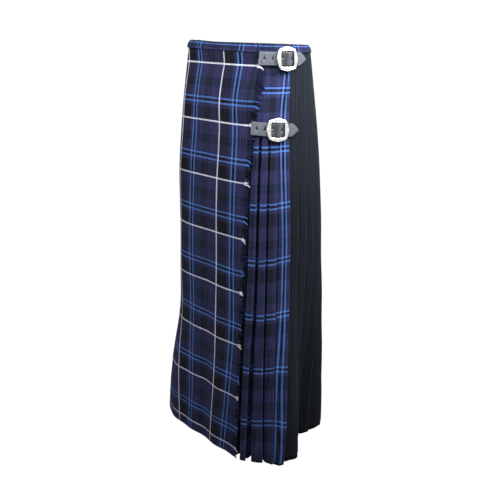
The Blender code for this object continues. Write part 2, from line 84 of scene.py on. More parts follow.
Outline = namedtuple(
    "Outline",
    "drop centre_x centre_y half_width front_depth back_depth left_corner right_corner back_corner",
)
OUTLINES = [
    Outline(0.00, 0.000, -0.004, 0.150, 0.111, 0.119, 2.8, 3.5, 2.1),
    Outline(0.12, 0.002, -0.004, 0.156, 0.127, 0.137, 3.1, 4.2, 2.2),
    Outline(0.26, 0.013, -0.001, 0.160, 0.146, 0.144, 3.8, 5.2, 2.1),
    Outline(0.55, 0.027, -0.011, 0.165, 0.157, 0.145, 4.8, 5.1, 2.3),
    Outline(0.97, 0.020, -0.034, 0.215, 0.177, 0.138, 6.3, 2.9, 2.1),
]
Lie = namedtuple("Lie", "drop edge crease fold_1 fold_2 fold_3 fold_4 fringe stand")
LIES = [
    Lie(0.00, 0.112, -0.114, 0.124, 0.144, 0.167, 0.195, 0.010, 0.0017),
    Lie(0.06, 0.120, -0.114, 0.130, 0.150, 0.174, 0.203, 0.015, 0.0017),
    Lie(0.15, 0.118, -0.116, 0.139, 0.159, 0.184, 0.213, 0.014, 0.0017),
    Lie(0.26, 0.120, -0.120, 0.148, 0.171, 0.198, 0.230, 0.011, 0.0020),
    Lie(0.40, 0.123, -0.125, 0.156, 0.180, 0.209, 0.249, 0.010, 0.0025),
    Lie(0.55, 0.127, -0.132, 0.163, 0.189, 0.218, 0.260, 0.009, 0.0030),
    Lie(0.75, 0.137, -0.145, 0.171, 0.205, 0.230, 0.261, 0.008, 0.0036),
    Lie(0.97, 0.151, -0.160, 0.185, 0.229, 0.248, 0.269, 0.007, 0.0042),
]
Warp = namedtuple("Warp", "drop right left")
WARPS = [
    Warp(0.000, -0.1110, 0.0200),
    Warp(0.020, -0.1080, 0.0245),
    Warp(0.045, -0.1010, 0.0300),
    Warp(0.070, -0.1030, 0.0276),
    Warp(0.120, -0.1077, 0.0240),
    Warp(0.200, -0.1070, 0.0320),
    Warp(0.300, -0.1105, 0.0340),
    Warp(0.440, -0.1080, 0.0380),
    Warp(0.650, -0.1000, 0.0520),
    Warp(0.800, -0.0840, 0.0590),
    Warp(0.970, -0.0695, 0.0596),
]
Flute = namedtuple("Flute", "arc width out")
FLUTES = [
    Flute(0.210, 0.022, -0.005),
    Flute(0.308, 0.034, 0.036),
    Flute(0.396, 0.036, -0.036),
    Flute(0.530, 0.045, 0.010),
    Flute(0.640, 0.040, -0.012),
    Flute(0.770, 0.045, 0.012),
    Flute(0.890, 0.045, -0.010),
]
Fastening = namedtuple("Fastening", "name drop arc strap_start strap_end fall holes")
FASTENINGS = [
    Fastening("upper", 0.0302, 0.1848, 0.1210, 0.2455, 0.010, (0.1330, 0.1514, 0.1717, 0.1941)),
    Fastening("lower", 0.1836, 0.1822, 0.1230, 0.2448, 0.070, (0.1353, 0.1533, 0.1707, 0.1907)),
]

# Soft folds that the cloth hangs in, on every side: the arc of each at its top and at the hem, the drop where
# it starts, its width and how far out its ridge (or in its trough) is at the hem.
Drape = namedtuple("Drape", "arc_top arc_hem starts width out")
DRAPES = [
    Drape(-0.010, 0.030, 0.30, 0.024, -0.0050),
    Drape(0.060, 0.085, 0.35, 0.022, 0.004),
    Drape(-0.075, -0.052, 0.48, 0.016, -0.0022),
    Drape(-0.100, -0.098, 0.60, 0.020, 0.003),
    Drape(0.455, 0.470, 0.25, 0.020, 0.005),
    Drape(0.575, 0.590, 0.35, 0.018, -0.004),
    Drape(0.700, 0.700, 0.30, 0.022, 0.005),
    Drape(0.840, 0.830, 0.40, 0.018, -0.004),
    Drape(0.960, 0.980, 0.30, 0.022, 0.005),
]

APRON_LEVEL = -CLOTH / 2
PLEAT_BASE = APRON_LEVEL - 3 * LAYER - SEAM
DEEP_UNDER_LEVEL = -0.0127
CREASE_LIFT, CREASE_LIFT_WIDTH = 0.0020, 0.022
BAND_GAP = 0.0005
BAND_OVER_APRON = BAND_GAP + CLOTH / 2
BAND_OVER_CREASE = BAND_OVER_APRON + 0.0030
BAND_OVER_PLEATS = APRON_LEVEL - LAYER + CLOTH + BAND_GAP
BAND_BEHIND_APRON = -CLOTH - BAND_GAP - CLOTH / 2
BAND_BEHIND_PLEATS = PLEAT_BASE - CLOTH - 0.0018


def eased(t):
    """0 to 1 along t squared times (3 - 2t)."""
    t = np.clip(t, 0, 1)
    return t * t * (3 - 2 * t)


def bell(t):
    return np.exp(-0.5 * t * t)


def column(rows, name, drop):
    """A table's column at any drops, on the cubic through its rows."""
    x = np.array([row.drop for row in rows])
    y = np.array([getattr(row, name) for row in rows])
    slope = np.gradient(y, x)
    i = np.clip(np.searchsorted(x, drop) - 1, 0, len(x) - 2)
    span = x[i + 1] - x[i]
    t = (drop - x[i]) / span
    return (
        (1 + 2 * t) * (1 - t) ** 2 * y[i]
        + t * (1 - t) ** 2 * span * slope[i]
        + t * t * (3 - 2 * t) * y[i + 1]
        + t * t * (t - 1) * span * slope[i + 1]
    )


def lie(name, drop):
    return column(LIES, name, drop)


def arc_from(arc, middle, around):
    """How far an arc lies from another, by the shorter way round."""
    return np.mod(arc - middle + around / 2, around) - around / 2


# How far the hem hangs above its level at each arc, in mm.
Hang = namedtuple("Hang", "arc up")
HANGS = [
    Hang(0.120, 0.0),
    Hang(0.155, -5.0),
    Hang(0.195, 0.0),
    Hang(0.235, 5.0),
    Hang(0.262, -5.0),
    Hang(0.285, 6.0),
    Hang(0.340, 5.0),
    Hang(0.400, 2.0),
    Hang(0.445, 11.0),
    Hang(0.520, 6.0),
    Hang(0.600, 0.0),
]


# Shallow hollows where the cloth hangs in a little: the middle of each, its reach both ways and its depth.
Hollow = namedtuple("Hollow", "arc drop width length out")
HOLLOWS = [
    Hollow(-0.150, 0.67, 0.060, 0.070, -0.0080),
]


class Form:
    """The kilt's outline at every drop, as one grid that gives the point for any drop, arc and height.

    Each row is four quarters of |x/a|^p + |y/b|^p = 1, resampled to even steps of arc, with its outward
    normal and the soft folds as a height to add.
    """

    ROWS, AROUND = 196, 2048

    def __init__(self):
        self.drops = np.linspace(0, LENGTH, self.ROWS)
        value = {name: column(OUTLINES, name, self.drops)[:, None] for name in Outline._fields[1:]}
        angle = np.linspace(-np.pi / 2, 1.5 * np.pi, self.AROUND + 1)[None]
        cos, sin = np.cos(angle), np.sin(angle)
        front = np.where(cos >= 0, value["left_corner"], value["right_corner"])
        power = 2 / np.where(sin < 0, front, value["back_corner"])
        depth = np.where(sin < 0, value["front_depth"], value["back_depth"])
        x = value["centre_x"] + value["half_width"] * np.sign(cos) * np.abs(cos) ** power
        y = value["centre_y"] + depth * np.sign(sin) * np.abs(sin) ** power
        run = np.cumsum(np.hypot(np.diff(x), np.diff(y)), axis=1)
        run = np.pad(run, ((0, 0), (1, 0)))
        self.around = run[:, -1]
        share = np.arange(self.AROUND) / self.AROUND
        grid = []
        for i in range(self.ROWS):
            arc = run[i] + value["centre_x"][i]
            grid.append([np.interp(share * run[i, -1], arc, v, period=run[i, -1]) for v in (x[i], y[i])])
        x, y = np.moveaxis(np.array(grid), 1, 0)
        run_x = np.roll(x, -1, 1) - np.roll(x, 1, 1)
        run_y = np.roll(y, -1, 1) - np.roll(y, 1, 1)
        length = np.hypot(run_x, run_y)
        arc = share[None] * self.around[:, None]
        self.grid = np.stack([x, y, run_y / length, -run_x / length, self.folds(arc)], axis=-1)

    def folds(self, arc):
        """The deep flutes and the soft drapes: bells across the arc that grow from where they start."""
        drop, around = self.drops[:, None], self.around[:, None]
        total = np.zeros_like(arc)
        for flute in FLUTES:
            grown = eased((drop - FLUTES_START) / (LENGTH - FLUTES_START))
            total += flute.out * grown * bell((arc - flute.arc * around / HEM_AROUND) / flute.width)
        for hollow in HOLLOWS:
            away = arc_from(arc, hollow.arc * around / HEM_AROUND, around)
            total += hollow.out * bell(away / hollow.width) * bell((drop - hollow.drop) / hollow.length)
        for drape in DRAPES:
            grown = eased((drop - drape.starts) / (LENGTH - drape.starts) * 1.25)
            centre = drape.arc_top + (drape.arc_hem - drape.arc_top) * drop / LENGTH
            away = arc_from(arc, centre * around / HEM_AROUND, around)
            total += drape.out * grown * bell(away / drape.width)
        return total

    def place(self, drop, arc, height):
        """Points, by linear steps between the grid's four nearest places.

        The back of the waist dips, and the cloth leans in at the waistband as (1 - drop / width)^1.5. Its top
        edge lifts a little at the front.
        """
        drop, arc, height = np.broadcast_arrays(drop, arc, height)
        row = np.clip(drop / self.drops[1], 0, self.ROWS - 1.0001)
        i = row.astype(int)
        down = row - i
        around = self.around[i] * (1 - down) + self.around[i + 1] * down
        turn = np.mod(arc / around, 1) * self.AROUND
        j = turn.astype(int) % self.AROUND
        k = (j + 1) % self.AROUND
        along = (turn - np.floor(turn))[..., None]
        down = down[..., None]
        upper = self.grid[i, j] * (1 - along) + self.grid[i, k] * along
        lower = self.grid[i + 1, j] * (1 - along) + self.grid[i + 1, k] * along
        x, y, out_x, out_y, fold = np.moveaxis(upper * (1 - down) + lower * down, -1, 0)
        height = height + fold - TOP_LEAN * np.clip(1 - drop / BAND_WIDTH, 0, 1) ** 1.5
        behind = (1 - np.cos(2 * np.pi * arc / around)) / 2
        dip = BACK_DIP * behind * eased(1 - drop / BACK_DIP_ENDS)
        hang = np.interp(np.mod(arc, around), *np.transpose(HANGS)) * 0.001 * eased((drop - 0.55) / 0.42)
        lift = TOP_LIFT * bell(arc_from(arc, TOP_LIFT_ARC, around) / TOP_LIFT_WIDTH) * eased(1 - drop / 0.07)
        return np.stack([x + height * out_x, y + height * out_y, hang + lift - drop - dip], axis=-1)

    def round_at(self, drop):
        return np.interp(drop, self.drops, self.around)


FORM = Form()


# Making pieces.


def mesh_piece(name, points, face_groups, uv=None):
    """A smooth mesh object from points (n, 3), groups of faces (m, corners) and a map of one uv a point."""
    mesh = bpy.data.meshes.new(name)
    corners = np.concatenate([group.ravel() for group in face_groups]).astype(np.int32)
    sizes = np.concatenate([np.full(len(group), group.shape[1]) for group in face_groups])
    starts = np.concatenate([[0], np.cumsum(sizes)[:-1]]).astype(np.int32)
    mesh.vertices.add(len(points))
    mesh.vertices.foreach_set("co", np.ascontiguousarray(points, np.float32).ravel())
    mesh.loops.add(len(corners))
    mesh.loops.foreach_set("vertex_index", corners)
    mesh.polygons.add(len(sizes))
    mesh.polygons.foreach_set("loop_start", starts)
    mesh.polygons.foreach_set("use_smooth", np.ones(len(sizes), bool))
    mesh.update(calc_edges=True)
    if uv is not None:
        layer = mesh.uv_layers.new(name="cloth")
        layer.data.foreach_set("uv", np.ascontiguousarray(uv[corners], np.float32).ravel())
    mesh.validate()
    made = bpy.data.objects.new(name, mesh)
    bpy.context.scene.collection.objects.link(made)
    return made


def quads_of(rows, columns, wrap=False):
    """The faces of a grid of points; with wrap, its last column joins its first."""
    index = np.arange(rows * columns).reshape(rows, columns)
    if wrap:
        index = np.concatenate([index, index[:, :1]], axis=1)
    return np.stack([index[:-1, :-1], index[1:, :-1], index[1:, 1:], index[:-1, 1:]], axis=-1).reshape(-1, 4)


def cloth_map(across, down):
    """Places on a cloth: how far across and how far down."""
    return np.stack(np.broadcast_arrays(across, down), axis=-1)


def sheet_piece(name, points, uv, thickness=0.0009):
    """A sheet over a grid of points, rows going down and columns towards the wearer's left, with a wall."""
    rows, columns = points.shape[:2]
    made = mesh_piece(name, points.reshape(-1, 3), [quads_of(rows, columns)], uv.reshape(-1, 2))
    wall = made.modifiers.new("wall", "SOLIDIFY")
    wall.thickness = thickness
    wall.offset = -1
    return made


def tubes_piece(name, paths, radii, sides, uv=None):
    """Round rods along paths (count, steps, 3): each ring is cos a times one side plus sin a times the other,
    square to the path, and a flat face closes each end."""
    count, steps = paths.shape[:2]
    ahead = np.gradient(paths, axis=1)
    ahead /= np.linalg.norm(ahead, axis=-1, keepdims=True)
    guide = np.where(np.abs(ahead[:, :1, 2:]) > 0.8, [[[1.0, 0.0, 0.0]]], [[[0.0, 0.0, 1.0]]])
    first = np.cross(ahead, guide)
    first /= np.linalg.norm(first, axis=-1, keepdims=True)
    second = np.cross(ahead, first)
    angle = np.arange(sides) * 2 * np.pi / sides
    ring = np.cos(angle)[:, None] * first[..., None, :] + np.sin(angle)[:, None] * second[..., None, :]
    points = paths[..., None, :] + np.broadcast_to(radii, (count, steps))[..., None, None] * ring
    one = quads_of(steps, sides, wrap=True)
    quads = (one[None] + np.arange(count)[:, None, None] * steps * sides).reshape(-1, 4)
    lift = np.arange(count)[:, None] * steps * sides
    near = lift + np.arange(sides)[None]
    far = lift + (steps - 1) * sides + np.arange(sides)[None, ::-1]
    if uv is not None:
        uv = np.repeat(uv, sides, axis=1).reshape(-1, 2)
    return mesh_piece(name, points.reshape(-1, 3), [quads, near, far], uv)


def wear(piece, material, nodes=()):
    """Gives a piece its finish, its body and the solids that it stands for."""
    piece.data.materials.clear()
    piece.data.materials.append(material)
    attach(piece, "root")
    if nodes:
        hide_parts(*nodes)
    return piece


# Cloth.

FOLD_RADIUS = 0.0008
FACE_HOLD = 0.001
PLEAT_DEPTH = 0.008
PLEATS_GAPE, GAP_DEPTH = 0.004, 0.016
PLEATS_SEWN = 0.130
FACE_RISE = 1.25
Fineness = namedtuple("Fineness", "rows face fold back")


def drops_of(rows, top=0.0015):
    return np.linspace(top, LENGTH, rows)[:, None]


def pleat_layers(drop):
    """The level of the pleats' lowest layer and how far their layers stand apart. Both are close where the
    pleats are sewn down, at the top, and the layer sinks in where they hang open."""
    hangs = eased((drop - PLEATS_SEWN) / 0.14)
    stand = lie("stand", drop)
    shut = (1 - hangs) * 0.9
    base = PLEAT_BASE + 2 * shut * (stand - 0.0008) - PLEATS_GAPE * hangs * (0.6 + 0.4 * eased(drop))
    return base, stand - shut * (stand - 0.0008)


def pleat_section(before, fold, after_cloth, fold_cloth, drop, fine, gap=0.0):
    """One knife pleat as arcs, heights and places along the cloth, rows by columns.

    The face rises on 1 - (1 - t)^FACE_RISE from under the last fold to its own. Where it hangs, the first
    share of it, gap, stays back in the dark. A half circle turns it under, it goes back PLEAT_DEPTH, and a
    second half circle brings it forward to where the next face starts.
    """
    base, stand = pleat_layers(drop)
    opens = eased((drop - PLEATS_SEWN) / 0.10) * min(gap * 4, 1)
    face_base = base - GAP_DEPTH * opens
    top = PLEAT_BASE + 2 * lie("stand", drop)
    t = np.linspace(0, 1, fine.face)[None]
    back = np.linspace(0, 1, fine.back)[None]
    turn = np.linspace(np.pi / 2, -np.pi / 2, fine.fold)[None]
    start = before + FACE_HOLD
    inner = fold - PLEAT_DEPTH
    return_end = base + 0.9 * stand
    half = 0.45 * stand
    arcs = [
        start + (fold - start) * t,
        fold + FOLD_RADIUS * np.cos(turn),
        fold - PLEAT_DEPTH * back,
        inner - half * np.cos(turn),
        inner + (PLEAT_DEPTH + FACE_HOLD) * back[:, :-1],
    ]
    heights = [
        (1 - opens) * (base + (top - base) * (1 - (1 - t) ** FACE_RISE))
        + opens * (face_base + (top - face_base) * eased((t - 0.5 * gap) / (0.7 * gap + 0.02)) ** 0.7),
        top - FOLD_RADIUS + FOLD_RADIUS * np.sin(turn),
        top - 2 * FOLD_RADIUS + (return_end - top + 2 * FOLD_RADIUS) * back,
        base + half + half * np.sin(turn),
        base + 0 * back[:, :-1],
    ]
    flat = np.zeros_like(drop)
    cloth = [
        fold_cloth - (fold - arcs[0]),
        fold_cloth + FOLD_RADIUS * (np.pi / 2 - turn) + flat,
        fold_cloth + PLEAT_DEPTH * back + flat,
        fold_cloth + PLEAT_DEPTH + half * (np.pi / 2 - turn),
        after_cloth - (fold + FACE_HOLD - arcs[4]),
    ]
    sizes = [np.broadcast_to(a, (len(drop), a.shape[1])) for a in arcs]
    return tuple(
        np.concatenate([np.broadcast_to(v, s.shape) for v, s in zip(part, sizes)], axis=1)
        for part in (arcs, heights, cloth)
    )


def pleated_piece(name, folds, cloth_at_folds, fine, lead=None, tail=None, gaps=(0.0,)):
    """A run of knife pleats as one sheet. folds has a column of arcs for each fold, the one before first."""
    drop = drops_of(fine.rows)
    parts = [] if lead is None else [lead(drop)]
    for i in range(len(folds) - 1):
        face_width = folds[i + 1] - folds[i] - FACE_HOLD
        following = cloth_at_folds[(i + 1) % len(cloth_at_folds)]
        if i + 2 < len(folds):
            following = following - (folds[i + 2] - folds[i + 1] - FACE_HOLD)
        else:
            following = following - face_width
        here = cloth_at_folds[i % len(cloth_at_folds)]
        parts.append(pleat_section(folds[i], folds[i + 1], following, here, drop, fine, gaps[i % len(gaps)]))
    if tail is not None:
        parts.append(tail(drop))
    arc, height, cloth = (np.concatenate([part[k] for part in parts], axis=1) for k in range(3))
    uneven = 0.0006 * np.sin(arc * 173.0 + drop * 21.0) * eased((drop - 0.15) / 0.5)
    points = FORM.place(drop, arc, height + uneven)
    return sheet_piece(name, points, cloth_map(cloth, drop))


def left_folds(drop):
    return [lie(f"fold_{i + 1}", drop) for i in range(LEFT_PLEATS)]


def right_folds(drop):
    """The folds of the right pleats, from the last black one's to the one beside the apron's fold."""
    face = (left_folds(drop)[-1] - lie("edge", drop)) / LEFT_PLEATS
    last = FORM.round_at(drop) + lie("crease", drop) - 0.003
    return [last - face * (RIGHT_PLEATS - i) for i in range(RIGHT_PLEATS + 1)]


def lead_in(start, end):
    """The flat start of a run, from one arc to another on the pleats' base."""

    def section(drop):
        t = np.linspace(0, 1, 6)[None, :-1]
        arc = start(drop) + (end(drop) - start(drop)) * t
        return arc, pleat_layers(drop)[0] + 0 * arc, arc - end(drop)

    return section


def make_pleats(check, black):
    fine = Fineness(150, 26, 7, 7)
    drop = drops_of(fine.rows)
    edge = lie("edge", drop)
    # The last checked pleat is folded a little on the slant at both of its ends.
    slant = 0.0085 * eased((0.17 - drop) / 0.15) + 0.0060 * eased((drop - 0.74) / 0.22)
    left = pleated_piece(
        "pleats_left_cloth",
        [edge + 0.001, *left_folds(drop)],
        [0.80 * SETT, 0.90 * SETT, 0.84 * SETT, 0.495 * SETT - slant],
        fine,
        lead=lead_in(lambda d: lie("edge", d) - 0.030, lambda d: lie("edge", d) + 0.002),
        gaps=(0.42, 0.28, 0.20, 0.10),
    )
    fine = Fineness(76, 13, 6, 4)
    drop = drops_of(fine.rows)
    first, last = left_folds(drop)[-1], right_folds(drop)[0]
    back = pleated_piece(
        "pleats_back_cloth",
        [first + (last - first) * i / BACK_PLEATS for i in range(BACK_PLEATS + 1)],
        [0.0],
        fine,
        lead=lead_in(lambda d: left_folds(d)[-1] - PLEAT_DEPTH, lambda d: left_folds(d)[-1] + FACE_HOLD),
        gaps=(0.06, 0.12, 0.09),
    )
    fine = Fineness(110, 18, 6, 5)
    drop = drops_of(fine.rows)

    def to_deep_fold(d):
        t = np.linspace(0.1, 1, 8)[None]
        last = right_folds(d)[-1]
        arc = last + FACE_HOLD + (FORM.round_at(d) + lie("crease", d) + APRON_RETURN - last - FACE_HOLD) * t
        return arc, pleat_layers(d)[0] + 0 * arc, arc - last

    right = pleated_piece(
        "pleats_right_cloth",
        right_folds(drop),
        [0.84 * SETT, 0.90 * SETT, 0.80 * SETT, 0.70 * SETT],
        fine,
        lead=lead_in(lambda d: right_folds(d)[0] - PLEAT_DEPTH, lambda d: right_folds(d)[0] + FACE_HOLD),
        tail=to_deep_fold,
        gaps=(0.12, 0.25, 0.20, 0.30),
    )
    wear(left, check, ["pleats_left"])
    wear(back, black, ["pleats_back"])
    wear(right, check, ["pleats_right"])


def crease_lift(arc, drop):
    return CREASE_LIFT * np.exp(-(((arc - lie("crease", drop)) / CREASE_LIFT_WIDTH) ** 2))


def apron_wrinkle(drop, arc):
    """Small pulls in the apron: slanting bells near the straps and a slow ripple down the middle."""
    from_edge = lie("edge", drop) - arc
    pull = 0.0
    for centre, reach in ((0.046, 0.05), (0.190, 0.07)):
        pull = pull + 0.0010 * bell((drop - centre - 0.25 * from_edge) / 0.010) * np.exp(-from_edge / reach)
    ripple = 0.0007 * np.sin(2 * np.pi * (drop / 0.31 + arc / 0.19)) * eased((drop - 0.1) / 0.3)
    return pull + ripple


def make_over_apron(check):
    """The apron, from the layer behind its fold, round the fold and across the front to its free edge."""
    drop = drops_of(220)
    fold, edge = lie("crease", drop), lie("edge", drop)
    back = np.linspace(1, 0, 14)[None]
    turn = np.linspace(-np.pi / 2, np.pi / 2, 8)[None, 1:-1]
    face = np.linspace(0, 1, 120)[None]
    level = APRON_LEVEL + 0.0002
    behind = fold + APRON_RETURN * back
    round_it = fold - FOLD_RADIUS * np.cos(turn)
    front = fold + (edge - fold) * face
    arc = np.concatenate([behind, round_it, front], axis=1)
    height = np.concatenate(
        [
            level - 2 * FOLD_RADIUS - 0.0012 * back + 0 * drop,
            level - FOLD_RADIUS + FOLD_RADIUS * np.sin(turn) + 0 * drop,
            level + 0 * front,
        ],
        axis=1,
    )
    height = height + crease_lift(arc, drop)
    height[:, -120:] += apron_wrinkle(drop, front)
    right, left = (column(WARPS, side, drop) for side in ("right", "left"))
    laid = np.concatenate([2 * fold - behind, round_it, front], axis=1)
    warp = (laid - right) / (left - right) * SETT
    made = sheet_piece("over_apron_cloth", FORM.place(drop, arc, height), cloth_map(warp, drop))
    wear(made, check, ["over_apron"])
    return made


def under_apron_height(arc, drop):
    t = eased((arc - lie("crease", drop) - 0.075) / 0.05)
    return DEEP_UNDER_LEVEL + (PLEAT_BASE - DEEP_UNDER_LEVEL) * t


def make_under_apron(check):
    drop = drops_of(60)
    start, end = lie("crease", drop) + 0.006, lie("edge", drop) - 0.012 - SEAM
    arc = start + (end - start) * np.linspace(0, 1, 50)[None]
    points = FORM.place(drop, arc, under_apron_height(arc, drop) - 0.0006 * np.sin(arc * 60 + drop * 9))
    made = sheet_piece("under_apron_cloth", points, cloth_map(arc, drop))
    wear(made, check, ["under_apron"])


# A yarn's length as a share of the table's: the usual one, the least and the most.
FRINGE_USUAL, FRINGE_LEAST, FRINGE_MOST = 1.6, 0.5, 2.1
TUFT = 0.0062


def make_fringe(yarn):
    """Yarns that run on past the free edge in small tufts. Each leaves the edge level, bends over with the
    square of its run and leans towards the middle of its tuft."""
    rng = np.random.default_rng(7)
    count, steps = 2000, 7
    start = np.sort(rng.uniform(BAND_WIDTH + 0.001, LENGTH - 0.001, count))[:, None]
    tuft = np.floor(start / TUFT)
    own = np.random.default_rng(8).normal(0, 1, (4, int(LENGTH / TUFT) + 2))
    droop, lean, reach, twist = (row[tuft.astype(int)] for row in own)
    middle = (tuft + 0.5) * TUFT
    t = np.linspace(0, 1, steps)[None]
    ragged = 0.2 * reach + rng.uniform(-0.25, 0.12, (count, 1))
    length = lie("fringe", start) * np.clip(FRINGE_USUAL + ragged, FRINGE_LEAST, FRINGE_MOST)
    out = length * (t - 0.22 * t * t)
    gather = (middle - start) * 0.62 * eased(t * 0.9)
    fall = length * (0.24 + 0.13 * droop) * t * t
    drop = np.clip(start + gather + fall, 0.001, LENGTH + 0.004)
    stray = rng.normal(0, 0.0006, (count, 1)) * t
    # They leave the cloth in two layers.
    layer = np.where(np.arange(count)[:, None] % 2, 0.0002, -0.0006)
    height = APRON_LEVEL + layer + (0.0014 + 0.0008 * lean) * t + stray + 0.0005 * twist * np.sin(4 * t)
    arc = lie("edge", start) - 0.001 + out
    paths = FORM.place(np.clip(drop, 0, LENGTH), arc, height)
    paths[..., 2] = np.minimum(paths[..., 2], -drop)
    radii = 0.00042 * (1 - 0.55 * t**3)
    uv = cloth_map(arc - lie("edge", start), start)
    made = tubes_piece("fringe_yarns", paths, radii, 4, uv)
    wear(made, yarn, ["fringe"])
    return made


def stepped(arcs, *stops):
    """A height along the arcs that goes smoothly from one stop's to the next's."""
    places = np.array([stop[0] for stop in stops])
    heights = np.array([stop[1] for stop in stops])
    i = np.clip(np.searchsorted(places, arcs) - 1, 0, len(places) - 2)
    t = eased((arcs - places[i]) / (places[i + 1] - places[i]))
    return heights[i] + (heights[i + 1] - heights[i]) * t


def band_piece(name, ends, share, outer, inner, pad=0.0004):
    """A band folded over a top edge: up the outer leaf, over a half ellipse and down the inner leaf. ends
    gives its two end arcs at a drop, and each column keeps its share of the way between them."""
    roll = 0.0026
    leaf = np.linspace(BAND_WIDTH, roll, 10)
    angle = np.linspace(0, np.pi, 11)[1:-1]
    middle, half = (outer + inner) / 2, (outer - inner) / 2
    plump = pad * np.sin(np.pi * (leaf - roll) / (BAND_WIDTH - roll))
    rows_drop = [BAND_WIDTH + 0.0003, *leaf, *(roll - roll * np.sin(angle)), *leaf[::-1]]
    rows_height = [outer - 0.0008]
    rows_height += [outer + p for p in plump]
    rows_height += [middle + half * np.cos(a) for a in angle]
    rows_height += [inner - p for p in plump]
    drop = np.array(rows_drop)[:, None]
    height = np.array(rows_height)
    start, end = ends(drop)
    arcs = start + (end - start) * share[None]
    wobble = 0.0003 * np.sin(arcs * 210) * bell((drop - 0.010) / 0.006)
    points = FORM.place(drop, arcs, height + wobble)
    across = np.concatenate([[0], np.cumsum(np.linalg.norm(np.diff(points[:, 0], axis=0), axis=-1))])
    start, end = ends(0.009)
    along = start + (end - start) * share
    along = along - (FORM.round_at(0.009) - 6 * BAND_SETT) * eased((along - 0.28) / 0.42)
    uv = cloth_map(along[None], across[:, None])
    # Rows here go upwards outside, so they are turned over to face outwards.
    return sheet_piece(name, points[::-1], uv[::-1], thickness=0.0009)


def band_ends(drop):
    """Where the band starts, behind the apron's free edge, and where it ends on it."""
    edge = lie("edge", drop)
    return edge + 0.002, FORM.round_at(drop) + edge - 0.001


def under_band_ends(drop):
    return lie("crease", drop) + 0.008, lie("edge", drop) - 0.014


def make_bands(band_check):
    start, end = band_ends(0.009)
    crossing = FORM.round_at(0.009) + lie("crease", 0.009)
    share = np.linspace(0, 1, 420)
    arcs = start + (end - start) * share
    outer = stepped(
        arcs,
        (start, BAND_OVER_PLEATS),
        (crossing - 0.030, BAND_OVER_PLEATS),
        (crossing - 0.004, BAND_OVER_CREASE),
        (crossing + 0.010, BAND_OVER_CREASE),
        (crossing + 0.060, BAND_OVER_APRON),
        (end, BAND_OVER_APRON),
    )
    inner = stepped(
        arcs,
        (start, BAND_BEHIND_PLEATS),
        (crossing + APRON_RETURN + 0.008, BAND_BEHIND_PLEATS),
        (crossing + APRON_RETURN + 0.022, BAND_BEHIND_APRON),
        (end, BAND_BEHIND_APRON),
    )
    band = band_piece("waistband_cloth", band_ends, share, outer, inner)
    wear(band, band_check, ["waistband"])
    start, end = under_band_ends(0.009)
    share = np.linspace(0, 1, 110)
    middle = under_apron_height(start + (end - start) * share, 0.009)
    leaf = CLOTH + BAND_GAP
    outer, inner = middle + leaf, middle - leaf
    under = band_piece("waistband_under_cloth", under_band_ends, share, outer, inner, pad=0.0002)
    wear(under, band_check, ["waistband_under"])


# Straps and buckles.


def seat(fastening):
    """The buckle's own plane as an origin and the rows u along its strap, v up the cloth and w outwards."""
    near = 0.02 * np.array([1, -1])
    ahead, behind = FORM.place(fastening.drop, fastening.arc + near, 0.0)
    below, above = FORM.place(fastening.drop + near, fastening.arc, 0.0)
    along = ahead - behind
    along[2] = -fastening.fall * np.linalg.norm(along)
    along /= np.linalg.norm(along)
    out = np.cross(along, above - below)
    out /= np.linalg.norm(out)
    centre = FORM.place(fastening.drop, fastening.arc, 0.0)
    return centre, np.stack([along, np.cross(out, along), out])


def hump(u):
    """How far a strap is pushed out where it arches over its buckle's bar: 1 - (u / half window)^4."""
    return 0.0056 * (1 - np.clip(u / (WINDOW_HALF_WIDTH - 0.001), -1, 1) ** 4)


def closed_up(piece):
    """Welds a piece's coincident points and turns its faces outwards."""
    work = bmesh.new()
    work.from_mesh(piece.data)
    bmesh.ops.remove_doubles(work, verts=work.verts, dist=1e-6)
    bmesh.ops.recalc_face_normals(work, faces=work.faces)
    work.to_mesh(piece.data)
    work.free()


